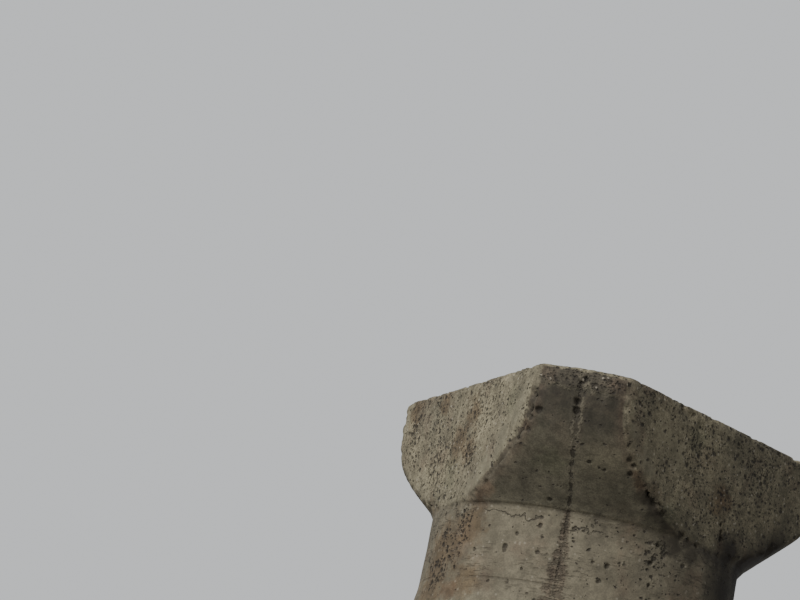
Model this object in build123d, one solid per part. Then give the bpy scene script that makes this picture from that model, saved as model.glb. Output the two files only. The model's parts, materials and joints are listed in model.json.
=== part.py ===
from build123d import *
import math
import os

# Concrete armour unit of the four-legged kind, cast in one piece. Each leg is a round
# cone that eases into a ball-shaped hub, narrows to a short straight collar, and ends
# in a flared head with three corners. The origin is the middle of the hub. One leg
# points straight up, the other three point down and outward at equal angles, and the
# unit stands on the straight lower edges of their three heads.

# Driving dimensions, in millimetres and degrees
reach = 1735          # from the middle of the hub to the end face of a leg
hub_radius = 740      # ball in the middle, seen between the legs
root_radius = 620     # leg cone, carried on to the middle of the hub
foot_width = 95       # easing ring between a leg's cone and the ball, on either side
neck_radius = 430     # leg, where the head begins
collar_length = 210   # straight round stretch of the leg next to the head
head_height = 360     # from the neck to the end face
corner_radius = 635   # from the leg's axis to the corners of the head
flare_angle = 47      # the head's underside, from the leg's axis
bend_radius = 220     # where the underside turns upright into the lip
flat_inset = 6        # how far the head's flat faces stand inside the neck's round
arris_width = 12      # bevel all round the end face

# Four legs: one up, the rest evenly round the unit, the first of them towards -Y
lower_legs = 3
first_heading = -90
leg_angle = math.degrees(math.acos(-1 / 3))

# Levels along a leg, measured from the middle of the hub
neck_level = reach - head_height
collar_level = neck_level - collar_length


def leg_blank():
    """Turned leg without its head: ball, easing ring, cone and straight collar."""
    with BuildPart() as leg:
        with BuildSketch(Plane.XZ) as profile:
            Circle(hub_radius)
            Polygon(
                (0, 0),
                (root_radius, 0),
                (neck_radius, collar_level),
                (neck_radius, neck_level),
                (0, neck_level),
                align=None,
            )
            Rectangle(hub_radius, neck_level, align=Align.MIN, mode=Mode.INTERSECT)
            foot = profile.vertices().sort_by(Axis.X)[-2]
            chamfer(foot, foot_width)
        revolve(axis=Axis.Z)
    return leg.part


def head_solid():
    """Turned bowl with an upright lip, trimmed by three flat faces to three corners.

    One corner points along +X. Between two corners, a flat face comes down to the
    neck, and under each corner the turned bowl is left as an overhanging facet.
    """
    flare_rise = (corner_radius - neck_radius) / math.tan(math.radians(flare_angle))
    with BuildPart() as head:
        with BuildSketch(Plane.XZ) as profile:
            Polygon(
                (0, neck_level),
                (neck_radius, neck_level),
                (corner_radius, neck_level + flare_rise),
                (corner_radius, reach),
                (0, reach),
                align=None,
            )
            bend = profile.vertices().group_by(Axis.X)[-1].sort_by(Axis.Y)[0]
            fillet(bend, bend_radius)
        revolve(axis=Axis.Z)
        with BuildSketch(Plane.XY.offset(neck_level)):
            RegularPolygon(neck_radius - flat_inset, 3, major_radius=False)
        extrude(amount=head_height, mode=Mode.INTERSECT)
        end_face = head.faces().sort_by(Axis.Z)[-1]
        chamfer(end_face.edges(), arris_width)
    return head.part


def leg_solid():
    """Leg with its head, cut to its own quarter of the hub.

    The cuts are the planes halfway between this leg's axis and each of the others, so
    four such legs meet face to face.
    """
    leg = leg_blank() + head_solid()
    up = Vector(0, 0, 1)
    for index in range(lower_legs):
        other = up.rotate(Axis.Y, leg_angle).rotate(Axis.Z, index * 360 / lower_legs)
        halfway = Plane(origin=(0, 0, 0), z_dir=up - other)
        leg = leg.split(halfway, keep=Keep.TOP)
    return leg


def unit_solid():
    """Four equal legs, each turned so that its head's corners face the other three."""
    leg = leg_solid()
    unit = Rot(Z=first_heading) * leg
    for index in range(lower_legs):
        heading = first_heading + index * 360 / lower_legs
        unit = unit + Rot(Z=heading) * Rot(Y=leg_angle) * Rot(Z=180) * leg
    return unit


os.makedirs("parts", exist_ok=True)
export_step(unit_solid(), "parts/tetrapod.step")
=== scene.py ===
# %% [markdown]
# # A concrete armour unit, worn by the sea
# Four legs leave one hub, and each ends in a flared head with three corners. The unit is
# one casting, so it is one piece here too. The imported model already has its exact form.
# What it lacks is the skin: bruised arrises, seams left by the mould, pits and stains.

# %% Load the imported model
import json
import math

import bmesh
import bpy
import numpy as np
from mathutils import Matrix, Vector, bvhtree, kdtree, noise


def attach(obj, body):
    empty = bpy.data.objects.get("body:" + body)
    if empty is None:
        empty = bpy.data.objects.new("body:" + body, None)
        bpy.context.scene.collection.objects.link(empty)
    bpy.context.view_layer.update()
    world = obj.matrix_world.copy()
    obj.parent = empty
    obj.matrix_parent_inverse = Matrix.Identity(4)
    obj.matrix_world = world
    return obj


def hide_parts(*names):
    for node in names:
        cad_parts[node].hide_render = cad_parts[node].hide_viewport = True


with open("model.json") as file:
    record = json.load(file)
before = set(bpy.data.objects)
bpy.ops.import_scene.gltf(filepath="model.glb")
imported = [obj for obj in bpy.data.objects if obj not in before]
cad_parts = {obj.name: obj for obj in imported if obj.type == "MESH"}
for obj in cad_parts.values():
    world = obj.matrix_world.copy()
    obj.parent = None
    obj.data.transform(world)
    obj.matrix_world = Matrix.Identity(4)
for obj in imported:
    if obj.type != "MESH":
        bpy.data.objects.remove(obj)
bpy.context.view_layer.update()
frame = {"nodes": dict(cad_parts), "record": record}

# %% [markdown]
# ## The axes and levels of the casting
# Everything on the unit is laid out along its legs, so every later step asks the same
# questions of a point: which leg is it on, how far along, and how near a corner of the
# head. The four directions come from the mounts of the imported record. The levels are
# measured along a leg from the middle of the hub, in metres.

# %% Leg axes and levels
leg_axes = np.array([mount["axis"] for mount in frame["record"]["mounts"]])
end_level = 1.735
neck_level = 1.375
lip_level = 1.677
flat_distance = 0.424


def toward(leg, other):
    """Unit vector square to one leg's axis, leaning toward another leg."""
    lean = leg_axes[other] - leg_axes[leg] * (leg_axes[leg] @ leg_axes[other])
    return lean / np.linalg.norm(lean)


# %% [markdown]
# ## An even skin to work on
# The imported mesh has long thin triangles, which can't hold a bruise or a pit. A copy of
# it is merged, and a voxel remesh wraps it in small even squares. A remesh blunts sharp
# edges, so afterwards the skin is cut finer along the arrises, along the seams and round
# the larger holes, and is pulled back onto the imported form. That spends the triangles
# where the eye looks for detail.

# %% Copy the casting and note its arrises
arris_angle = math.radians(22)
weld_gap = 0.0002
end_margin = 0.02


def casting_copy():
    """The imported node's mesh as a bmesh with its loose triangles merged."""
    casting = bmesh.new()
    casting.from_mesh(frame["nodes"]["tetrapod"].data)
    bmesh.ops.remove_doubles(casting, verts=casting.verts, dist=weld_gap)
    casting.normal_update()
    return casting


def arris_points(casting, spacing=0.004):
    """Points along every outward edge of the heads, close enough to measure from."""
    points = []
    for edge in casting.edges:
        if not edge.is_manifold or not edge.is_convex or edge.calc_face_angle() < arris_angle:
            continue
        start, finish = (vertex.co for vertex in edge.verts)
        steps = max(1, math.ceil((finish - start).length / spacing))
        points += [start.lerp(finish, step / steps) for step in range(steps + 1)]
    return points


casting = casting_copy()
true_form = bvhtree.BVHTree.FromBMesh(casting)


def search_tree(points):
    """A tree that finds the nearest of many points quickly."""
    tree = kdtree.KDTree(len(points))
    for index, point in enumerate(points):
        tree.insert(point, index)
    tree.balance()
    return tree


arris = arris_points(casting)
ridge = [point for point in arris
         if (leg_axes @ np.array(point)).max() < end_level - end_margin]
arris_tree, ridge_tree = search_tree(arris), search_tree(ridge)
print("points along the arrises:", len(arris), " of these on ridges:", len(ridge))

# %% [markdown]
# The Remesh modifier needs an object to sit on, so a holder carries it and is thrown away
# afterwards. Only the skin of squares stays, as a bmesh.

# %% Wrap it in even squares
skin_square = 0.030


def wrapped(casting, square):
    """The casting's form as a closed skin of squares of about one size."""
    mesh = bpy.data.meshes.new("casting_skin")
    casting.to_mesh(mesh)
    holder = bpy.data.objects.new("casting_skin", mesh)
    bpy.context.scene.collection.objects.link(holder)
    remesh = holder.modifiers.new("even_skin", "REMESH")
    remesh.mode = "VOXEL"
    remesh.voxel_size = square
    view = bpy.context.evaluated_depsgraph_get()
    skin = bmesh.new()
    skin.from_object(holder, view)
    bpy.data.objects.remove(holder)
    return skin


skin = wrapped(casting, skin_square)
print("squares in the skin:", len(skin.faces))

# %% [markdown]
# ## Easing the hub
# On the real unit the legs run into the hub in one smooth sweep, because the mould was
# dished plate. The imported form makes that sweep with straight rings. Repeated smoothing
# of the points near the hub melts the rings together and leaves the heads alone.

# %% Smooth the hub
hub_ease_from = 1.12
hub_ease_full = 0.98
full_rounds = 22
outer_rounds = 8


def place_array(skin):
    """Places of the skin's points as an array."""
    return np.array([vertex.co for vertex in skin.verts])


def melt(skin, below, rounds):
    """Smooth the points whose level along their leg is below a value."""
    levels = (place_array(skin) @ leg_axes.T).max(axis=1)
    soft = [vertex for vertex, level in zip(skin.verts, levels) if level < below]
    for turn in range(rounds):
        bmesh.ops.smooth_vert(skin, verts=soft, factor=0.5,
                              use_axis_x=True, use_axis_y=True, use_axis_z=True)


melt(skin, hub_ease_full, full_rounds)
melt(skin, hub_ease_from, outer_rounds)
print("hub eased below", hub_ease_full, "m from the middle")

# %% [markdown]
# ## Measuring a point
# The finish changes from place to place: flat faces are pitted, the overhang under a corner
# is smooth and takes painted shade, arrises are bruised, seams are rough. A few
# distances say where each begins. The shells of the mould met in the planes through two
# legs at a time, so a seam runs between every pair of legs, and a point's side of that
# plane is its distance from the seam.

# %% Distances that the finish depends on
no_seam = 0.5
seam_from_axis = 0.10


def gauges_of(places):
    """Level along the leg, reach toward a flat face, and side of the nearest seam."""
    along = places @ leg_axes.T
    leg = along.argmax(axis=1)
    level = along.max(axis=1)
    flat_reach = np.full(len(places), -end_level)
    seam_side = np.full(len(places), no_seam)
    for own in range(len(leg_axes)):
        here = leg == own
        radial = places[here] - level[here, None] * leg_axes[own]
        for other in set(range(len(leg_axes))) - {own}:
            seam_square = np.cross(leg_axes[min(own, other)], leg_axes[max(own, other)])
            reach = radial @ toward(own, other)
            side = radial @ (seam_square / np.linalg.norm(seam_square))
            flat_reach[here] = np.maximum(flat_reach[here], -reach)
            nearer = (reach > seam_from_axis) & (np.abs(side) < np.abs(seam_side[here]))
            seam_side[here] = np.where(nearer, side, seam_side[here])
    return {"level": level, "flat_reach": flat_reach, "seam_side": seam_side}


def ripple(places, size, shift):
    """Smooth noise between about -1 and 1 at each place, with bumps of the given size.

    Each shift picks another stretch of the same noise.
    """
    offset = Vector((shift, shift * 1.7, -shift))
    return np.array([noise.noise(Vector(place) / size + offset) for place in places])


def gap_to(tree, places):
    """Distance from each place to the nearest point in a search tree."""
    return np.array([tree.find(place)[2] for place in places])


print("gauges of a point 1 m up:", {name: round(float(values[0]), 2) for name, values
                                    in gauges_of(np.array([[0.0, 0.0, 1.0]])).items()})

# %% [markdown]
# ## Single holes
# The photograph shows a few dozen holes on the upright leg one by one. Each has its place
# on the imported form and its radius, in metres. They are listed here because the skin has
# to be fine round them before it can be pressed in, and the material shades them too.

# %% Single holes on the upright leg
holes = [((-0.159, -0.399, 1.262), 0.0084), ((-0.158, -0.399, 1.250), 0.0067),
         ((-0.133, -0.409, 1.300), 0.0067), ((-0.065, -0.425, 1.256), 0.0067),
         ((-0.071, -0.424, 1.330), 0.0071), ((-0.246, -0.353, 1.248), 0.0059),
         ((0.022, -0.429, 1.335), 0.0059), ((-0.132, -0.409, 1.164), 0.0059),
         ((-0.188, -0.387, 1.164), 0.0059), ((-0.100, -0.418, 1.205), 0.0050),
         ((-0.353, -0.237, 1.405), 0.0067), ((-0.335, -0.268, 1.377), 0.0101),
         ((-0.055, -0.449, 1.396), 0.0084), ((0.127, -0.411, 1.253), 0.0092),
         ((0.089, -0.421, 1.255), 0.0055), ((0.114, -0.415, 1.208), 0.0076),
         ((0.246, -0.352, 1.344), 0.0084), ((0.238, -0.358, 1.291), 0.0076),
         ((0.241, -0.356, 1.231), 0.0067), ((0.046, -0.555, 1.493), 0.0067),
         ((0.087, -0.537, 1.482), 0.0067), ((0.166, -0.542, 1.503), 0.0101),
         ((0.151, -0.559, 1.516), 0.0084), ((0.156, -0.525, 1.485), 0.0092),
         ((-0.022, -0.629, 1.728), 0.0084), ((-0.006, -0.633, 1.690), 0.0084),
         ((-0.006, -0.633, 1.638), 0.0118), ((-0.004, -0.631, 1.612), 0.0126),
         ((-0.124, -0.620, 1.642), 0.0101), ((-0.107, -0.616, 1.600), 0.0126),
         ((-0.126, -0.605, 1.577), 0.0092), ((-0.146, -0.591, 1.558), 0.0109),
         ((-0.130, -0.590, 1.546), 0.0092), ((-0.156, -0.563, 1.521), 0.0076),
         ((0.218, -0.455, 1.445), 0.0168), ((0.228, -0.437, 1.434), 0.0151),
         ((0.207, -0.468, 1.451), 0.0101), ((0.243, -0.426, 1.439), 0.0101),
         ((0.250, -0.405, 1.418), 0.0134), ((0.304, -0.320, 1.386), 0.0126),
         ((0.318, -0.298, 1.381), 0.0092), ((0.338, -0.264, 1.374), 0.0076),
         ((0.386, -0.179, 1.441), 0.0092), ((0.388, -0.175, 1.425), 0.0101),
         ((0.383, -0.184, 1.459), 0.0076), ((0.198, -0.488, 1.465), 0.0067)]
hole_tree = search_tree([middle for middle, radius in holes])
print("single holes:", len(holes))

# %% [markdown]
# Three passes halve the edges ever closer to an arris, a seam or a hole. Each pass gives
# the distance from an arris, from a seam and from a hole within which it cuts, and how
# far from the front of the head a seam still counts.

# %% Cut it finer along the arrises, the seams and round the holes
front_seam = np.array((0.0, -0.56, 1.52))
everywhere = 9.0
finer_passes = [(0.048, 0.030, 0.045, everywhere), (0.018, 0.014, 0.028, everywhere),
                (0.0, 0.013, 0.019, 0.36)]


def cut_finer(skin, from_arris, from_seam, from_hole, seam_reach):
    """Halve the edges near an arris, seam or hole, and pull the points back onto the form.

    Seams count only within seam_reach of the front of the upright head.
    """
    places = place_array(skin)
    on_seam = np.abs(gauges_of(places)["seam_side"]) < from_seam
    on_seam &= np.linalg.norm(places - front_seam, axis=1) < seam_reach
    by_arris = gap_to(arris_tree, places) < from_arris
    by_hole = gap_to(hole_tree, places) < from_hole
    close = on_seam | by_arris | by_hole
    near = {vertex for vertex, is_close in zip(skin.verts, close) if is_close}
    edges = [edge for edge in skin.edges if edge.verts[0] in near and edge.verts[1] in near]
    bmesh.ops.subdivide_edges(skin, edges=edges, cuts=1, use_grid_fill=True)
    levels = gauges_of(place_array(skin))["level"]
    for vertex, level in zip(skin.verts, levels):
        if level > hub_ease_from:
            vertex.co = true_form.find_nearest(vertex.co)[0]
    melt(skin, hub_ease_from, 1)


for distances in finer_passes:
    cut_finer(skin, *distances)
print("faces after cutting finer:", len(skin.faces))

# %% [markdown]
# Now the points stay the same in number, so each can be gauged once. The seam wanders a
# little, since the plates of the mould never met quite straight.

# %% Gauge the finished skin
places = place_array(skin)
skin.normal_update()
normals = np.array([vertex.normal for vertex in skin.verts])
gauges = gauges_of(places)
gauges["arris_gap"] = gap_to(arris_tree, places)
gauges["ridge_gap"] = gap_to(ridge_tree, places)
seam_wander, wander_size = 0.005, 0.10
gauges["seam_side"] += seam_wander * ripple(places, wander_size, 21.0)
print("points:", len(places), " points by arrises:", int((gauges["arris_gap"] < 0.01).sum()))

# %% [markdown]
# ## Marks of its own
# Wear is not even. These are the marks that the photograph shows on the upright leg, each
# with its place and radius in metres: rust near the ends of the ridges, tan and green
# stains, clusters of holes, painted shade in the corners and chips of the ridges and a
# painted shadow on the leg under the right overhang, bare smooth cement beside the front
# ridges, cracks under the crease, the joint line of the mould plates, a front corner that is
# painted darker, painted shade low on the right flat face, paler patches of painted light
# and a ridge worn blunt. Each list becomes one soft mask on the skin.

# %% Marks on the upright leg
marks = {
    "overhang_shadow": [((0.440, -0.010, 1.350), 0.17), ((0.413, -0.118, 1.295), 0.140),
                ((0.415, -0.130, 1.395), 0.09),
                ((0.428, -0.060, 1.210), 0.130), ((0.440, -0.040, 1.110), 0.125),
                ((0.447, -0.022, 1.392), 0.10), ((0.479, 0.028, 1.422), 0.11),
                ((0.513, 0.052, 1.456), 0.10)],
    "rust": [((-0.256, -0.370, 1.394), 0.045), ((-0.235, -0.400, 1.412), 0.050),
             ((0.190, -0.494, 1.468), 0.045), ((0.175, -0.520, 1.495), 0.030),
             ((-0.150, -0.590, 1.560), 0.040), ((-0.300, -0.310, 1.130), 0.070),
             ((0.384, -0.182, 1.528), 0.055), ((0.388, -0.176, 1.405), 0.035)],
    "tan": [((-0.340, -0.262, 1.250), 0.160), ((-0.360, -0.230, 1.130), 0.160),
            ((-0.270, -0.335, 1.310), 0.100), ((-0.255, -0.340, 1.160), 0.100),
            ((-0.335, -0.265, 1.640), 0.085), ((-0.370, -0.205, 1.555), 0.110),
            ((-0.330, -0.280, 1.530), 0.080), ((-0.555, 0.122, 1.690), 0.090),
            ((0.370, -0.206, 1.520), 0.090), ((-0.454, -0.062, 1.690), 0.060)],
    "green": [((0.265, -0.389, 1.430), 0.090), ((0.298, -0.332, 1.650), 0.080),
              ((-0.380, -0.190, 1.470), 0.090), ((-0.060, -0.540, 1.480), 0.090),
              ((-0.200, -0.500, 1.640), 0.080)],
    "honeycomb": [((-0.291, -0.317, 1.340), 0.060), ((-0.299, -0.309, 1.285), 0.075),
                  ((-0.320, -0.287, 1.235), 0.080), ((-0.350, -0.250, 1.185), 0.075),
                  ((-0.385, -0.191, 1.227), 0.045), ((-0.345, -0.250, 1.290), 0.055),
                  ((-0.430, -0.103, 1.537), 0.072), ((-0.322, -0.291, 1.520), 0.080),
                  ((-0.456, -0.058, 1.494), 0.050), ((0.450, -0.068, 1.640), 0.110),
                  ((0.388, -0.176, 1.434), 0.040), ((0.246, -0.352, 1.310), 0.070),
                  ((-0.545, 0.100, 1.640), 0.080), ((0.300, -0.330, 1.600), 0.090)],
    "corner_shade": [((0.226, -0.438, 1.433), 0.056), ((0.243, -0.414, 1.422), 0.060),
              ((0.270, -0.372, 1.402), 0.060), ((0.294, -0.335, 1.389), 0.058),
              ((0.319, -0.295, 1.380), 0.054), ((0.340, -0.262, 1.374), 0.050),
              ((0.365, -0.222, 1.368), 0.044), ((0.390, -0.180, 1.364), 0.044),
              ((0.218, -0.475, 1.472), 0.060), ((0.224, -0.445, 1.440), 0.070),
              ((0.275, -0.330, 1.358), 0.048), ((0.285, -0.320, 1.345), 0.060),
              ((0.325, -0.280, 1.345), 0.060),
              ((-0.130, -0.615, 1.630), 0.026), ((-0.145, -0.605, 1.595), 0.026),
              ((-0.155, -0.580, 1.555), 0.024), ((-0.066, -0.630, 1.652), 0.026),
              ((-0.098, -0.626, 1.650), 0.026), ((0.407, -0.139, 1.362), 0.045),
              ((0.428, -0.043, 1.360), 0.060)],
    "bare": [((-0.172, -0.550, 1.640), 0.060), ((-0.180, -0.536, 1.590), 0.075),
             ((-0.215, -0.476, 1.531), 0.080), ((-0.250, -0.412, 1.480), 0.080),
             ((-0.290, -0.345, 1.430), 0.080), ((0.159, -0.573, 1.583), 0.060),
             ((0.185, -0.525, 1.545), 0.060), ((0.205, -0.492, 1.515), 0.050),
             ((0.225, -0.460, 1.620), 0.080), ((0.262, -0.395, 1.590), 0.075)],
    "cracked": [((-0.187, -0.387, 1.337), 0.070), ((-0.147, -0.404, 1.355), 0.070),
                ((-0.105, -0.417, 1.350), 0.050), ((0.042, -0.428, 1.359), 0.060),
                ((0.085, -0.421, 1.374), 0.070)],
    "front_darkening": [((0.000, -0.620, 1.620), 0.80)],
    "low_flat_shade": [((0.300, -0.330, 1.430), 0.090), ((0.335, -0.268, 1.430), 0.110),
            ((0.390, -0.170, 1.470), 0.120), ((0.428, -0.107, 1.490), 0.100),
            ((0.468, -0.037, 1.520), 0.095), ((0.518, 0.050, 1.560), 0.110)],
    "painted_light_patches": [((0.095, -0.555, 1.510), 0.095), ((0.232, -0.445, 1.620), 0.120),
               ((0.285, -0.355, 1.625), 0.110), ((0.340, -0.260, 1.600), 0.090)],
    "blunt": [((-0.155, -0.580, 1.620), 0.075), ((-0.175, -0.545, 1.555), 0.085),
              ((-0.205, -0.495, 1.505), 0.085), ((-0.245, -0.425, 1.460), 0.080)],
    "jointed": [((-0.188, -0.387, 1.172), 0.130), ((-0.100, -0.418, 1.172), 0.080)],
}


def soft_spots(places, spots):
    """A mask that is 1 in the middle of each spot and fades to 0 at its radius."""
    mask = np.zeros(len(places))
    for middle, radius in spots:
        gap = np.linalg.norm(places - np.array(middle), axis=1)
        mask = np.maximum(mask, np.clip(1.3 * (1 - gap / radius), 0, 1))
    return mask


for name, spots in marks.items():
    gauges[name] = soft_spots(places, spots)
print("marks:", {name: len(spots) for name, spots in marks.items()})

# %% [markdown]
# ## Bruising the skin
# Every change goes inward, because wear only takes away: slow waves from the mould
# plates, a rounding and chips along the arrises, one ridge worn blunt, gaps on both sides
# of the seams, the single holes and a few deeper bruises. Depths are in metres and follow
# the skin's own normals. The same noise gives the same bruises each time.

# %% Depth of each effect
bruises = [((0.218, -0.455, 1.445), 0.036, 0.020), ((0.190, -0.490, 1.470), 0.026, 0.009),
           ((-0.127, -0.618, 1.640), 0.022, 0.010), ((-0.140, -0.608, 1.597), 0.026, 0.014),
           ((-0.152, -0.585, 1.560), 0.026, 0.014), ((-0.168, -0.555, 1.535), 0.022, 0.008),
           ((0.158, -0.550, 1.510), 0.018, 0.006)]
rounding_depth, rounding_reach = 0.004, 0.016
nick_depth, nick_size, nick_reach = 0.020, 0.020, 0.018
chip_depth, chip_reach = 0.050, 0.045
chip_size, crumb_size, crumb_share, chip_rarity = 0.085, 0.032, 0.6, 0.42
gap_depth, gap_half_width, gap_end_fade = 0.008, 0.007, 0.012
gap_spread_levels, gap_spread = (1.40, 1.62), (0.003, 0.008)
gap_shallow_levels, gap_shallow = (1.25, 1.40), (0.4, 1.0)
band_depth, band_half_width = 0.006, 0.032
band_top, band_fade = 1.385, 0.02
hole_share, rim_unevenness, rim_size = 0.75, 0.004, 0.009
blunt_depth, blunt_reach = 0.009, 0.030
wave_depth, wave_size = 0.004, 0.45
dent_depth, dent_size = 0.0012, 0.07


def fading(gap, reach, most=1.0):
    """A share that falls from most at a gap of 0 to 0 at about the reach, never over 1."""
    return np.clip(most - gap / reach, 0, 1)


def arris_wear(places, gap):
    """Rounding, small nicks and larger chips along the arrises."""
    rounding = rounding_depth * fading(gap, rounding_reach) ** 2
    uneven = np.clip(ripple(places, nick_size, 11.0) + 0.02, 0, 0.4)
    nicks = nick_depth * uneven * fading(gap, nick_reach)
    chance = ripple(places, chip_size, 3.0) + crumb_share * ripple(places, crumb_size, 7.0)
    chips = chip_depth * np.clip(chance - chip_rarity, 0, 0.5) * fading(gap, chip_reach)
    return rounding + nicks + chips


def seam_gap_mask(places, side, level):
    """Gaps on both sides of the bead that the seam left, 1 where a gap is deepest."""
    half_way = np.interp(level, gap_spread_levels, gap_spread)
    across = fading(np.abs(np.abs(side) - half_way), gap_half_width, 1.2)
    along = np.clip(1.6 * ripple(places, 0.024, 15.0) + 0.5, 0, 1)
    return across * along * np.clip((end_level - level) / gap_end_fade, 0, 1)


def seam_wear(places, side, level, seam_gap):
    """The gaps of the seam, and a rough band down each leg."""
    band = (fading(np.abs(side), band_half_width)
            * np.clip((band_top - level) / band_fade, 0, 1))
    return (gap_depth * seam_gap * np.interp(level, gap_shallow_levels, gap_shallow)
            + band_depth * band * np.clip(ripple(places, 0.017, 33.0) + 0.15, 0, 0.7))


def hole_depth(places):
    """The single holes, each about three quarters as deep as its radius."""
    depth = np.zeros(len(places))
    uneven = rim_unevenness * ripple(places, rim_size, 41.0)
    for middle, radius in holes:
        gap = np.linalg.norm(places - np.array(middle), axis=1) + uneven
        bowl = np.clip(1.3 - 1.3 * (gap / radius) ** 2, 0, 1)
        depth = np.maximum(depth, hole_share * radius * bowl)
    return depth


def bruise_depth(places):
    """The few deeper bruises, rough inside."""
    depth = np.zeros(len(places))
    rough = 0.85 + 0.6 * ripple(places, 0.018, 31.0)
    for middle, radius, deep in bruises:
        gap = np.linalg.norm(places - np.array(middle), axis=1)
        depth = np.maximum(depth, deep * rough * np.clip(1 - (gap / radius) ** 2, 0, 1))
    return depth


gauges["seam_gap"] = seam_gap_mask(places, gauges["seam_side"], gauges["level"])
depth = arris_wear(places, gauges["arris_gap"]) + bruise_depth(places) + hole_depth(places)
depth += seam_wear(places, gauges["seam_side"], gauges["level"], gauges["seam_gap"])
depth += blunt_depth * gauges["blunt"] * fading(gauges["ridge_gap"], blunt_reach, 1.1) ** 1.5
depth += wave_depth * np.clip(ripple(places, wave_size, 1.0) + 0.4, 0, 1)
depth += dent_depth * np.clip(ripple(places, dent_size, 5.0) + 0.5, 0, 1)
place_tree = search_tree(places)


def sunk(middle):
    """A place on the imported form, moved in by as much as the skin there."""
    index = place_tree.find(middle)[1]
    return Vector(middle) - Vector(normals[index]) * depth[index]


hole_floors = [(sunk(middle), radius) for middle, radius in holes]
for vertex, inward in zip(skin.verts, normals * depth[:, None]):
    vertex.co -= Vector(inward)
print("deepest bruise:", round(float(depth.max()) * 1000, 1), "mm")

# %% [markdown]
# The skin becomes the one visible piece. Every gauge and mark goes along as an attribute
# of its points, where the material can read it.

# %% Finish the piece
body_mesh = bpy.data.meshes.new("tetrapod_casting")
skin.to_mesh(body_mesh)
body = bpy.data.objects.new("tetrapod_casting", body_mesh)
bpy.context.scene.collection.objects.link(body)
for name, values in gauges.items():
    attribute = body_mesh.attributes.new(name, "FLOAT", "POINT")
    attribute.data.foreach_set("value", values.astype(np.float32))
for polygon in body_mesh.polygons:
    polygon.use_smooth = True
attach(body, "root")
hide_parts("tetrapod")
body_mesh.calc_loop_triangles()
print("triangles:", len(body_mesh.loop_triangles))

# %% [markdown]
# ## Tools for wiring a finish
# A finish is a graph of small nodes. These helpers add a node and wire its inputs in one
# line, so that each group below reads as a list of what it does. Every effect is a node
# group with named inputs and outputs, and the material places it with its own values.

# %% Wiring helpers
def put(tree, kind, feeds=None, **settings):
    """Add a node. Feeds gives inputs by name or number: a plain value or an output to link."""
    made = tree.nodes.new("ShaderNode" + kind)
    for name, value in settings.items():
        setattr(made, name, value)
    for socket, value in (feeds or {}).items():
        if isinstance(value, bpy.types.NodeSocket):
            tree.links.new(value, made.inputs[socket])
        else:
            made.inputs[socket].default_value = value
    return made


def calc(tree, operation, *values):
    """One sum on numbers or outputs."""
    return put(tree, "Math", dict(enumerate(values)), operation=operation).outputs[0]


def ramp(tree, value, start, end, low=0.0, high=1.0):
    """A smooth step of a value from low at start to high at end."""
    feeds = {"Value": value, "From Min": start, "From Max": end, "To Min": low, "To Max": high}
    return put(tree, "MapRange", feeds, interpolation_type="SMOOTHSTEP").outputs["Result"]


def tint(tree, share, under, over):
    """Lay one colour over another by a share from 0 to 1."""
    feeds = {"Factor": share, "A": under, "B": over}
    return put(tree, "Mix", feeds, data_type="RGBA").outputs[2]


def ripples(tree, place, size, stretch=(1, 1, 1), detail=2.0, shift=0.0):
    """Soft noise from 0 to 1 whose bumps are about size metres across."""
    scale = [side / size for side in stretch]
    moved = put(tree, "Mapping", {"Vector": place, "Location": (shift, shift, shift),
                                  "Scale": scale})
    return put(tree, "TexNoise", {"Vector": moved.outputs[0], "Scale": 1.0, "Detail": detail,
                                  "Roughness": 0.6}).outputs[0]


def new_group(name, inputs, outputs):
    """An empty node group. Inputs are (name, kind, value), outputs are (name, kind)."""
    tree = bpy.data.node_groups.new(name, "ShaderNodeTree")
    for label, kind, value in inputs:
        socket = tree.interface.new_socket(label, in_out="INPUT",
                                           socket_type="NodeSocket" + kind)
        if value is not None:
            socket.default_value = value
    for label, kind in outputs:
        tree.interface.new_socket(label, in_out="OUTPUT", socket_type="NodeSocket" + kind)
    given = tree.nodes.new("NodeGroupInput").outputs
    wanted = tree.nodes.new("NodeGroupOutput").inputs
    return tree, given, wanted


def use(tree, group, feeds):
    """Place a node group and feed it."""
    return put(tree, "Group", feeds, node_tree=group).outputs


print("wiring helpers ready")

# %% [markdown]
# ## Pits
# Air trapped against the mould leaves small round holes, and the sea opens more of them
# as it wears the skin away. A Voronoi texture scatters points, and each cell's own
# random colour decides whether it holds a pit and how wide it is. A little noise bends
# the cells first, so that no pit is a perfect circle.

# %% Pits group
def pits_group():
    """Round pits at a spacing, with a share of the cells that hold one, and their width."""
    tree, given, wanted = new_group(
        "air_pits",
        [("Place", "Vector", None), ("Spacing", "Float", 0.02), ("Share", "Float", 0.5),
         ("Width", "Float", 0.3)],
        [("Pit", "Float")])
    bent = put(tree, "TexNoise", {"Vector": given["Place"], "Scale": 60.0, "Detail": 1.0})
    centred = put(tree, "VectorMath", {0: bent.outputs["Color"], 1: (0.5, 0.5, 0.5)},
                  operation="SUBTRACT")
    bend = put(tree, "VectorMath", {0: centred.outputs[0], "Scale": 0.012}, operation="SCALE")
    moved = put(tree, "VectorMath", {0: given["Place"], 1: bend.outputs[0]}, operation="ADD")
    cells = put(tree, "TexVoronoi", {"Vector": moved.outputs[0],
                                     "Scale": calc(tree, "DIVIDE", 1.0, given["Spacing"])})
    chance = put(tree, "SeparateColor", {"Color": cells.outputs["Color"]})
    here = calc(tree, "LESS_THAN", chance.outputs[0], given["Share"])
    width = calc(tree, "MULTIPLY", given["Width"],
                 ramp(tree, chance.outputs[1], 0, 1, 0.45, 1.5))
    inside = put(tree, "MapRange", {"Value": cells.outputs["Distance"], "From Min": width,
                                    "From Max": calc(tree, "MULTIPLY", width, 0.45),
                                    "To Min": 0.0, "To Max": 1.0})
    tree.links.new(calc(tree, "MULTIPLY", inside.outputs[0], here), wanted["Pit"])
    return tree


air_pits = pits_group()
print("group:", air_pits.name)

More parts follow.
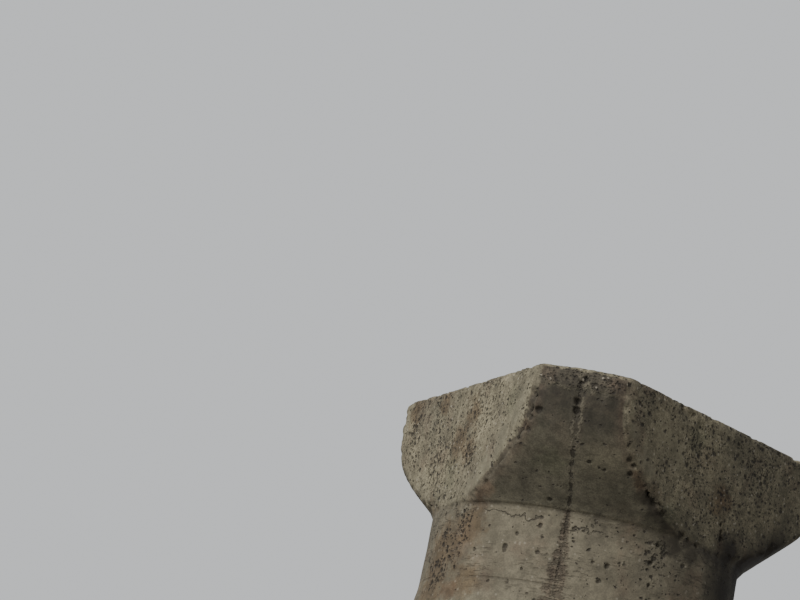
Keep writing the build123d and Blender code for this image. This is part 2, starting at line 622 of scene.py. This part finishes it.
# %% [markdown]
# ## A single hole
# The skin is pressed in where the photograph shows a hole. This group shades the same
# hole: it is dark within its radius, and noise of a few millimetres makes the rim ragged.

# %% Single hole group
def holes_group():
    """One hole of a given middle and radius."""
    tree, given, wanted = new_group(
        "lone_hole",
        [("Place", "Vector", None), ("Middle", "Vector", None), ("Radius", "Float", 0.006)],
        [("Hole", "Float")])
    gap = put(tree, "VectorMath", {0: given["Place"], 1: given["Middle"]}, operation="DISTANCE")
    uneven = ramp(tree, ripples(tree, given["Place"], 0.010, detail=3.0),
                  0.3, 0.7, -0.0024, 0.0024)
    ragged = calc(tree, "ADD", gap.outputs["Value"], uneven)
    rim = calc(tree, "MULTIPLY", given["Radius"], 1.15)
    core = calc(tree, "MULTIPLY", given["Radius"], 0.45)
    tree.links.new(ramp(tree, ragged, rim, core), wanted["Hole"])
    return tree


lone_hole = holes_group()
print("group:", lone_hole.name)

# %% [markdown]
# ## Grain
# Where the cement skin has gone, the sand shows as fine light and dark specks.

# %% Grain group
def grain_group():
    """Fine grain, and paler grit in a few of its cells."""
    tree, given, wanted = new_group(
        "sand_grain", [("Place", "Vector", None), ("Size", "Float", 0.004)],
        [("Grain", "Float"), ("Pale grit", "Float")])
    scale = calc(tree, "DIVIDE", 1.0, given["Size"])
    fine = put(tree, "TexNoise", {"Vector": given["Place"], "Scale": scale, "Detail": 3.0,
                                  "Roughness": 0.7})
    grit = put(tree, "TexVoronoi", {"Vector": given["Place"],
                                    "Scale": calc(tree, "MULTIPLY", scale, 0.35)})
    chance = put(tree, "SeparateColor", {"Color": grit.outputs["Color"]})
    spot = ramp(tree, grit.outputs["Distance"], 0.34, 0.22)
    tree.links.new(fine.outputs[0], wanted["Grain"])
    chosen = calc(tree, "GREATER_THAN", chance.outputs[0], 0.86)
    tree.links.new(calc(tree, "MULTIPLY", spot, chosen), wanted["Pale grit"])
    return tree


sand_grain = grain_group()
print("group:", sand_grain.name)

# %% [markdown]
# ## The mould seam
# Four dished shells made the mould, and wet cement crept out where two of them met. On a
# head that left a line of lumps with gaps beside it, and down a leg a rough brown band
# with short grooves across it. The skin's seam gauge says how far a point lies to one
# side of the joint, and noise makes the line wander.

# %% Seam group
def seam_group():
    """The band down a leg, and the rims and holes along a head, from the seam gauge."""
    tree, given, wanted = new_group(
        "mould_seam",
        [("Place", "Vector", None), ("Side", "Float", 0.5), ("Gap", "Float", 0.0),
         ("Band width", "Float", 0.02), ("Hole width", "Float", 0.01)],
        [("Band", "Float"), ("Rims", "Float"), ("Holes", "Float")])
    side = calc(tree, "ABSOLUTE", given["Side"])
    ragged = calc(tree, "MULTIPLY", given["Band width"],
                  ramp(tree, ripples(tree, given["Place"], 0.025, detail=3.0),
                       0.3, 0.7, 0.6, 1.5))
    beads = ripples(tree, given["Place"], 0.021, (1.0, 1.0, 0.8), 2.0)
    hole_edge = calc(tree, "MULTIPLY", given["Hole width"],
                     ramp(tree, ripples(tree, given["Place"], 0.012, shift=5.0),
                          0.3, 0.7, 0.5, 1.4))
    hole_core = calc(tree, "MULTIPLY", hole_edge, 0.4)
    holes = calc(tree, "MULTIPLY", ramp(tree, side, hole_edge, hole_core),
                 ramp(tree, beads, 0.50, 0.43))
    gaps = calc(tree, "MULTIPLY", ramp(tree, given["Gap"], 0.45, 0.95),
                ramp(tree, beads, 0.62, 0.48, 0.0, 0.6))
    from_rim = calc(tree, "ABSOLUTE", calc(tree, "SUBTRACT", side, hole_edge))
    rims = calc(tree, "MULTIPLY", ramp(tree, from_rim, 0.006, 0.001),
                ramp(tree, beads, 0.46, 0.60))
    band_core = calc(tree, "MULTIPLY", ragged, 0.4)
    tree.links.new(ramp(tree, side, ragged, band_core), wanted["Band"])
    tree.links.new(rims, wanted["Rims"])
    tree.links.new(calc(tree, "MAXIMUM", holes, gaps), wanted["Holes"])
    return tree


mould_seam = seam_group()
print("group:", mould_seam.name)

# %% [markdown]
# ## Weather
# Salt, rust and algae colour the skin in broad soft patches, and rain draws them down
# into streaks. Two kinds of noise do that, one round and one stretched upright.

# %% Weather group
def weather_group():
    """Broad patches, brown stains and upright streaks."""
    tree, given, wanted = new_group(
        "weather", [("Place", "Vector", None)],
        [("Patches", "Float"), ("Brown", "Float"), ("Streaks", "Float")])
    patches = ripples(tree, given["Place"], 0.22, detail=4.0)
    brown = ripples(tree, given["Place"], 0.13, detail=5.0, shift=4.0)
    streaks = ripples(tree, given["Place"], 0.05, (1, 1, 0.14), 3.0, 9.0)
    tree.links.new(ramp(tree, patches, 0.36, 0.64), wanted["Patches"])
    tree.links.new(ramp(tree, brown, 0.50, 0.70), wanted["Brown"])
    tree.links.new(ramp(tree, streaks, 0.46, 0.70), wanted["Streaks"])
    return tree


weather = weather_group()
print("group:", weather.name)

# %% [markdown]
# ## The concrete itself
# The material asks the gauges where it is and splits the skin into zones: the flat
# faces, the facets under the corners, the lip, the end faces and the legs. It chooses
# how dense the pits are in each, and lays the colours from the bottom up: the cement of
# the zone, the stains, the sand, the seam, and everything dark last. Heights are in
# metres, so a bump of 0.004 is a pit four millimetres deep.

# %% Concrete material and its helpers
concrete = bpy.data.materials.new("weathered_concrete")
concrete.use_nodes = True
tree = concrete.node_tree
shader = tree.nodes["Principled BSDF"]
place = put(tree, "TexCoord").outputs["Object"]
squat = put(tree, "Mapping", {"Vector": place, "Scale": (1, 1, 1.25)}).outputs[0]


def gauge(name):
    """One of the gauges or marks kept on the skin's points."""
    return put(tree, "Attribute", attribute_name=name).outputs["Fac"]


def times(*values):
    """Several values multiplied."""
    product = values[0]
    for value in values[1:]:
        product = calc(tree, "MULTIPLY", product, value)
    return product


def most_of(*values):
    """The largest of several values."""
    top = values[0]
    for value in values[1:]:
        top = calc(tree, "MAXIMUM", top, value)
    return top


def rest_of(value):
    """What is left of 1."""
    return calc(tree, "SUBTRACT", 1.0, value)


def jittered(value, noise_value, reach):
    """A value moved to and fro by noise, by at most about its reach."""
    return calc(tree, "ADD", value, times(calc(tree, "SUBTRACT", noise_value, 0.5), reach))


print("material:", concrete.name)

# %% [markdown]
# Each zone is a mask from 0 to 1. Noise shifts the edges of the lip and of the blunt
# ridge, because the real ones are worn and not ruled.

# %% Zones of the skin
coarse_break = ripples(tree, place, 0.028, detail=4.0, shift=14.0)
fine_break = ripples(tree, place, 0.011, detail=4.0, shift=17.0)
level, flat_reach, ridge_gap = gauge("level"), gauge("flat_reach"), gauge("ridge_gap")
on_head = ramp(tree, level, neck_level - 0.004, neck_level + 0.012)
rough_ridge_gap = jittered(ridge_gap, coarse_break, 0.030)
# The blunt ridge is a real worn bevel; its strip takes the facets' darker cement as painted
# shade.
blunt_shade_strip = times(gauge("blunt"), ramp(tree, rough_ridge_gap, 0.024, 0.014))
by_flat_plane = ramp(tree, flat_reach, flat_distance - 0.014, flat_distance - 0.005)
flat = times(on_head, rest_of(blunt_shade_strip), by_flat_plane)
rough_level = jittered(level, coarse_break, 0.050)
above_lip = ramp(tree, rough_level, lip_level - 0.016, lip_level + 0.004)
end_face = ramp(tree, level, end_level - 0.012, end_level - 0.005)
plain = most_of(flat, above_lip)
facet = times(on_head, rest_of(plain))
lip = times(above_lip, rest_of(end_face), rest_of(flat))
leg = rest_of(on_head)
print("nodes after the zones:", len(tree.nodes))

# %% [markdown]
# A stain drawn as a round spot would show its circle. So noise breaks up the edge of each
# mark before the material uses it. The painted shade of the corners shows less on the flat
# faces.

# %% Marks with broken edges
def broken(name, breakup, low=0.20, high=0.60):
    """A mark's soft mask with its edge broken up by noise."""
    return ramp(tree, jittered(times(gauge(name), 0.62), breakup, 0.9), low, high)


rust = broken("rust", coarse_break)
tan = broken("tan", coarse_break)
green = broken("green", coarse_break, 0.20, 0.70)
honeycomb = broken("honeycomb", coarse_break)
bare = broken("bare", coarse_break, 0.12, 0.62)
# Painted shade in the corners and chips along the ridges and by the neck, fainter on the flat
# faces.
corner_shade = times(broken("corner_shade", coarse_break, 0.12, 0.62), rest_of(times(flat, 0.60)))
print("nodes after the marks:", len(tree.nodes))

# %% [markdown]
# The flat faces are open and pitted, the facets and the legs are nearly closed, and the
# honeycombed spots are full of holes. Four sizes of pits share that density.

# %% How dense the pits are
sky = use(tree, weather, {"Place": place})
off_ridge = ramp(tree, ridge_gap, 0.006, 0.050, 0.20, 1.0)
open_skin = times(plain, off_ridge, rest_of(times(bare, 0.88)))
crowd = ramp(tree, ripples(tree, place, 0.12, detail=3.0, shift=2.0), 0.36, 0.60, 0.40, 1.25)
leg_share = ramp(tree, ripples(tree, place, 0.24, detail=2.0, shift=6.0),
                 0.42, 0.62, 0.05, 0.26)
density = times(crowd, calc(tree, "ADD", open_skin, times(leg, leg_share)))
density = calc(tree, "ADD", density, times(facet, 0.06))
density = calc(tree, "ADD", density, times(honeycomb, 1.25))
density = calc(tree, "ADD", density, times(sky["Brown"], plain, 0.30))


def pits_of(spacing, share, width, where=place, crowding=density):
    """Pits of one size, as many as the place calls for."""
    feeds = {"Place": where, "Spacing": spacing, "Share": times(crowding, share), "Width": width}
    return use(tree, air_pits, feeds)["Pit"]


tiny_pits = pits_of(0.0066, 0.34, 0.40, squat)
small_pits = pits_of(0.0120, 0.62, 0.37, squat)
medium_pits = pits_of(0.024, 0.52, 0.27, squat)
large_pits = pits_of(0.058, 0.22, 0.13)
dense_pits = pits_of(0.0175, 0.92, 0.41, crowding=honeycomb)
print("nodes after the pits:", len(tree.nodes))

# %% [markdown]
# Each single hole is one use of its group. The middle is moved in with the skin, so that
# the dark sits where the skin was pressed in.

# %% Single holes that the photograph shows
def hole_at(middle, radius):
    """The shading of one single hole."""
    return use(tree, lone_hole, {"Place": place, "Middle": middle, "Radius": radius})["Hole"]


lone_holes = most_of(*[hole_at(middle, radius) for middle, radius in hole_floors])
print("single holes wired:", len(hole_floors))

# %% [markdown]
# The colours are plain cement in a few shades, then stains of brown, tan, rust and green,
# then grit. Most lines lay one colour over what is there, by a share from 0 to 1, and
# three make it lighter and darker by noise.

# %% Colours of the concrete, from the bottom up
pale_cement = (0.176, 0.154, 0.101, 1)
grey_cement = (0.112, 0.099, 0.067, 1)
# The facets' darker cement is painted shade of the overhang.
shaded_cement = (0.073, 0.066, 0.046, 1)
leg_cement = (0.107, 0.094, 0.066, 1)
lip_cement = (0.029, 0.0245, 0.018, 1)
ridge_cement = (0.123, 0.112, 0.077, 1)
brown_stain = (0.098, 0.069, 0.047, 1)
tan_stain = (0.080, 0.056, 0.031, 1)
rust_brown = (0.078, 0.048, 0.028, 1)
green_stain = (0.085, 0.084, 0.052, 1)
# Dark for rain streaks and dirt along the arrises, and painted shade on the leg under the head.
streak_and_shade_dark = (0.058, 0.051, 0.037, 1)
# Painted shade: under the lip, low on the right flat face and on the blunt ridge.
painted_shade_dark = (0.023, 0.020, 0.0135, 1)
grit_pale = (0.300, 0.270, 0.215, 1)
seam_brown = (0.070, 0.046, 0.032, 1)
# Dark of the pits, holes and grooves, partly dirt and partly painted shade in the hollows; also
# painted shade in corners, along the crease and under the right overhang.
pit_and_shade_dark = (0.016, 0.013, 0.010, 1)


def over(share, under, upper, most=1.0):
    """Lay a colour over another, at most so much of it."""
    return tint(tree, times(share, most), under, upper)


def darkened(colour, speckle, amount):
    """Multiply a colour by a grey value, by as much as the amount says."""
    kept = calc(tree, "ADD", 1.0, times(calc(tree, "SUBTRACT", speckle, 1.0), amount))
    grey = put(tree, "CombineColor", {0: kept, 1: kept, 2: kept}).outputs[0]
    feeds = {"Factor": 1.0, "A": colour, "B": grey}
    return put(tree, "Mix", feeds, data_type="RGBA", blend_type="MULTIPLY").outputs[2]


sand = use(tree, sand_grain, {"Place": place, "Size": 0.0045})
by_arris = ramp(tree, jittered(ridge_gap, fine_break, 0.012), 0.020, 0.004)
from_ridge = ramp(tree, jittered(ridge_gap, coarse_break, 0.05), 0.085, 0.025)
near_ridge = ramp(tree, jittered(ridge_gap, coarse_break, 0.03), 0.045, 0.012)
under_lip_shade = ramp(tree, level, 1.47, 1.63)
under_head_shade = times(leg, ramp(tree, level, 1.12, 1.34))
unevenness = rest_of(most_of(times(facet, 0.30), times(leg, 0.50), times(flat, bare, 0.50)))
clouds = ramp(tree, ripples(tree, place, 0.070, detail=5.0, shift=19.0), 0.34, 0.66, 0.80, 1.20)
mottle = ramp(tree, ripples(tree, squat, 0.020, detail=5.0, shift=3.0), 0.36, 0.60, 0.74, 1.12)
colour = tint(tree, sky["Patches"], grey_cement, pale_cement)
# Darker at the front corner: on the lip it darkens the cement, and on the facet under the lip it
# deepens the painted shade.
front_darkening = most_of(0.35, gauge("front_darkening"))
colour = over(times(lip, front_darkening), colour, lip_cement, 0.88)
colour = over(times(flat, most_of(times(from_ridge, 0.4), bare)), colour, ridge_cement, 0.70)
colour = over(leg, colour, leg_cement, 0.85)
# Painted shade: the facets under the corners take a darker cement for the shade under the
# overhang.
colour = over(facet, colour, shaded_cement, 0.95)
# Painted shade: the leg darkens toward the head above it.
colour = over(under_head_shade, colour, streak_and_shade_dark, 0.15)
# Painted shade under the lip: the facet darkens toward the lip, most at the front corner.
colour = over(times(facet, under_lip_shade, front_darkening), colour, painted_shade_dark, 0.95)
colour = over(times(facet, near_ridge), colour, brown_stain, 0.30)
colour = over(times(on_head, by_arris), colour, streak_and_shade_dark, 0.40)
colour = over(times(sky["Brown"], rest_of(times(facet, 0.7))), colour, brown_stain, 0.50)
colour = over(tan, colour, tan_stain, 0.76)
colour = over(sky["Streaks"], colour, streak_and_shade_dark, 0.30)
# Painted shade: the right flat face is darker low down, toward the neck.
colour = over(times(gauge("low_flat_shade"), on_head), colour, painted_shade_dark, 0.34)
# Painted light: paler patches on the front facet and high on the right flat face.
colour = over(times(gauge("painted_light_patches"), most_of(flat, 0.4)), colour, pale_cement, 0.62)
# Painted shade on the strip of the blunt ridge.
colour = over(blunt_shade_strip, colour, painted_shade_dark, 0.28)
colour = over(rust, colour, rust_brown, 0.45)
colour = over(green, colour, green_stain, 0.50)
colour = darkened(colour, ramp(tree, sand["Grain"], 0.30, 0.70, 0.66, 1.34), unevenness)
colour = darkened(colour, mottle, unevenness)
colour = darkened(colour, clouds, 0.9)
colour = over(times(sand["Pale grit"], unevenness, rest_of(facet)), colour, grit_pale, 0.45)
print("nodes after the colours:", len(tree.nodes))

# %% [markdown]
# On the real unit the seam changes along a leg. Low down it is a broad brown band, which
# narrows toward the head, and up the corner of the head it is a line of lumps and holes
# that grow toward the end face. Ramps along the level set those widths, so one group
# serves the whole length.

# %% The seam
seam = use(tree, mould_seam, {
    "Place": place, "Side": gauge("seam_side"), "Gap": gauge("seam_gap"),
    "Hole width": ramp(tree, level, 1.40, 1.62, 0.0055, 0.0105),
    "Band width": ramp(tree, level, 1.14, 1.38, 0.036, 0.011)})
body_only = rest_of(end_face)
seam_holes, rims = times(seam["Holes"], body_only), times(seam["Rims"], body_only)
faded = ramp(tree, ripples(tree, place, 0.30, detail=3.0, shift=23.0), 0.38, 0.58, 0.30, 1.0)
leg_band = times(seam["Band"], leg, most_of(faded, ramp(tree, level, 1.10, 1.18)))
cross_marks = ramp(tree, ripples(tree, place, 0.010, (0.40, 0.40, 1.2), 3.0), 0.56, 0.44)
seam_grooves = times(leg_band, cross_marks)
colour = over(leg_band, colour, seam_brown, 0.36)
colour = over(times(seam["Band"], facet), colour, pit_and_shade_dark, 0.12)
colour = over(rims, colour, leg_cement, 0.60)
print("nodes after the seam:", len(tree.nodes))

# %% [markdown]
# Four kinds of thin lines run across a leg: the crease under the head, cracks just below
# it, the joint of two mould plates, and the lines where one pour of concrete met the next.

# %% Crease, cracks, plate joint and lift lines
crease_half_width, crack_half_width, joint_half_width = 0.010, 0.0034, 0.006
joint_level = 1.172
from_neck = calc(tree, "SUBTRACT", level, neck_level)
off_flat = ramp(tree, flat_reach, flat_distance, flat_distance - 0.02)
# The dark line along the crease is painted shade under the head; the same mask dents the bump.
crease = times(ramp(tree, calc(tree, "ABSOLUTE", from_neck), crease_half_width, 0.001), off_flat)
crack_line = ramp(tree, ripples(tree, place, 0.10, detail=4.0, shift=5.0),
                  0.3, 0.7, -0.050, -0.002)
crack_gap = calc(tree, "ABSOLUTE", calc(tree, "SUBTRACT", from_neck, crack_line))
crack_share = most_of(broken("cracked", coarse_break, 0.15, 0.30),
                      ramp(tree, ripples(tree, place, 0.16, detail=1.0, shift=12.0), 0.56, 0.62))
crack = times(ramp(tree, crack_gap, crack_half_width, 0.0010), crack_share, leg)
joint_gap = calc(tree, "ABSOLUTE", calc(tree, "SUBTRACT", level, joint_level))
joint_share = ramp(tree, ripples(tree, place, 0.12, shift=8.0), 0.50, 0.62)
joint = times(ramp(tree, joint_gap, joint_half_width, 0.001),
              most_of(gauge("jointed"), joint_share))
lift_noise = ripples(tree, place, 0.0065, (0.20, 0.20, 1.0), 3.0)
lift_lines = times(ramp(tree, lift_noise, 0.54, 0.64), leg,
                   ramp(tree, ripples(tree, place, 0.18, shift=7.0), 0.40, 0.58))
print("nodes after the lines:", len(tree.nodes))

# %% [markdown]
# Holes, lines and the painted shade of the corners are dark whatever they lie on, so they go
# on last, each by its own share. The dark in the pits, holes and grooves is partly dirt and
# partly painted shade in the hollows, and the line along the crease is painted shade. The
# leg under the right overhang gets a painted shadow, darkest of all.

# %% Everything dark goes on last
pits = most_of(tiny_pits, small_pits, medium_pits, large_pits, dense_pits)
dark_parts = [(pits, 0.92), (lone_holes, 0.72), (seam_holes, 0.68), (seam_grooves, 0.44),
              (crease, 0.32), (crack, 0.62), (joint, 0.25), (lift_lines, 0.42),
              (corner_shade, 0.82)]
dark = most_of(*[times(mask, share) for mask, share in dark_parts])
colour = over(dark, colour, pit_and_shade_dark, 0.90)
# Painted shadow: the leg under the right overhang is darkened almost to black.
colour = over(gauge("overhang_shadow"), colour, pit_and_shade_dark, 0.95)
tree.links.new(colour, shader.inputs["Base Color"])
print("dark parts:", len(dark_parts))

# %% [markdown]
# The same masks give the bump. Chips, bruises, seam gaps and the single holes are already
# in the mesh, so the bump adds the pits, the grain and the thin lines, which are too many
# and too fine for it.

# %% Heights and roughness
def height_sum(parts):
    """Add heights in metres: each part is (value from 0 to 1, height at 1)."""
    total = 0.0
    for value, metres in parts:
        total = calc(tree, "ADD", times(value, metres), total)
    return total


lip_step = times(above_lip, ramp(tree, flat_reach, flat_distance - 0.006, flat_distance - 0.03))
height = height_sum([
    (tiny_pits, -0.0015), (small_pits, -0.0030), (medium_pits, -0.0050),
    (large_pits, -0.0080), (dense_pits, -0.0060), (lone_holes, -0.0020),
    (times(sand["Grain"], unevenness), 0.0014), (times(coarse_break, unevenness), 0.0024),
    (lip_step, 0.003), (rims, 0.0015), (seam_holes, -0.005), (seam_grooves, -0.004),
    (crease, -0.003), (crack, -0.003), (joint, -0.002), (lift_lines, -0.0012)])
bump = put(tree, "Bump", {"Height": height, "Strength": 1.0, "Distance": 1.0})
tree.links.new(bump.outputs[0], shader.inputs["Normal"])
tree.links.new(ramp(tree, sand["Grain"], 0.2, 0.8, 0.82, 0.96), shader.inputs["Roughness"])
shader.inputs["Specular IOR Level"].default_value = 0.25
body_mesh.materials.append(concrete)
print("nodes in the concrete:", len(tree.nodes))

# %% [markdown]
# ## Stage, light and camera
# The photograph is taken with a long lens from a little below the head, on an overcast
# day. The unit in it leans away from the lens and to one side, and here it stands
# upright, so the camera takes the lean instead, which puts it below the level of the
# floor. The floor is a plain pale disc, small enough not to come before the lens.

# %% Floor
floor_radius = 8.5
floor_paint = (0.62, 0.61, 0.59, 1)


def pale_floor(height):
    """A flat disc under the unit."""
    disc = bmesh.new()
    bmesh.ops.create_circle(disc, cap_ends=True, radius=floor_radius, segments=96)
    bmesh.ops.translate(disc, verts=disc.verts, vec=(0, 0, height))
    mesh = bpy.data.meshes.new("floor")
    disc.to_mesh(mesh)
    disc.free()
    floor = bpy.data.objects.new("floor", mesh)
    bpy.context.scene.collection.objects.link(floor)
    paint = bpy.data.materials.new("pale_floor")
    paint.use_nodes = True
    matt = paint.node_tree.nodes["Principled BSDF"]
    matt.inputs["Base Color"].default_value = floor_paint
    matt.inputs["Roughness"].default_value = 0.85
    mesh.materials.append(paint)


floor_height = min(vertex.co.z for vertex in body_mesh.vertices)
pale_floor(floor_height)
print("floor height:", round(floor_height, 3), "m")

# %% [markdown]
# The sky is brighter behind the unit than in front of it, and one soft box stands for the
# bright part of the clouds at the left.

# %% Light
overcast_grey = (0.86, 0.88, 0.90, 1)
lamp_place, lamp_aim = (-3.9, -7.5, 6.5), (0, 0, 1.0)
lamp_size, lamp_power = 5.0, 1500

world = bpy.data.worlds.new("overcast")
bpy.context.scene.world = world
world.use_nodes = True
sky_tree = world.node_tree
direction = put(sky_tree, "SeparateXYZ", {0: put(sky_tree, "TexCoord").outputs["Generated"]})
glow = ramp(sky_tree, direction.outputs["Y"], 0.2, 0.9, 0.40, 0.78)
background = sky_tree.nodes["Background"]
background.inputs["Color"].default_value = overcast_grey
sky_tree.links.new(glow, background.inputs["Strength"])


def soft_light(name, place, aim, size, power):
    """A square soft box that points from its place at an aim."""
    lamp = bpy.data.lights.new(name, "AREA")
    lamp.size = size
    lamp.energy = power
    light = bpy.data.objects.new(name, lamp)
    bpy.context.scene.collection.objects.link(light)
    light.location = place
    light.rotation_euler = (Vector(aim) - Vector(place)).to_track_quat("-Z", "Y").to_euler()


soft_light("sky_left", lamp_place, lamp_aim, lamp_size, lamp_power)
print("lights:", len(bpy.data.lights), " world:", world.name)

# %% [markdown]
# The camera was worked out from the corners and ridges of the head in the photograph. Its
# numbers keep all their digits, because with so long a lens a small turn moves the picture
# a lot.

# %% Camera
camera_place = (2.28019, -16.11571, -1.64194)
camera_turn = (102.6986, -11.2650, 7.7696)
lens_length = 270
far_clip = 200

camera_data = bpy.data.cameras.new("camera")
camera_data.lens = lens_length
camera_data.clip_end = far_clip
camera = bpy.data.objects.new("camera", camera_data)
bpy.context.scene.collection.objects.link(camera)
camera.location = camera_place
camera.rotation_euler = [math.radians(turn) for turn in camera_turn]
bpy.context.scene.camera = camera
print("camera at", camera_place, "with a", lens_length, "mm lens")
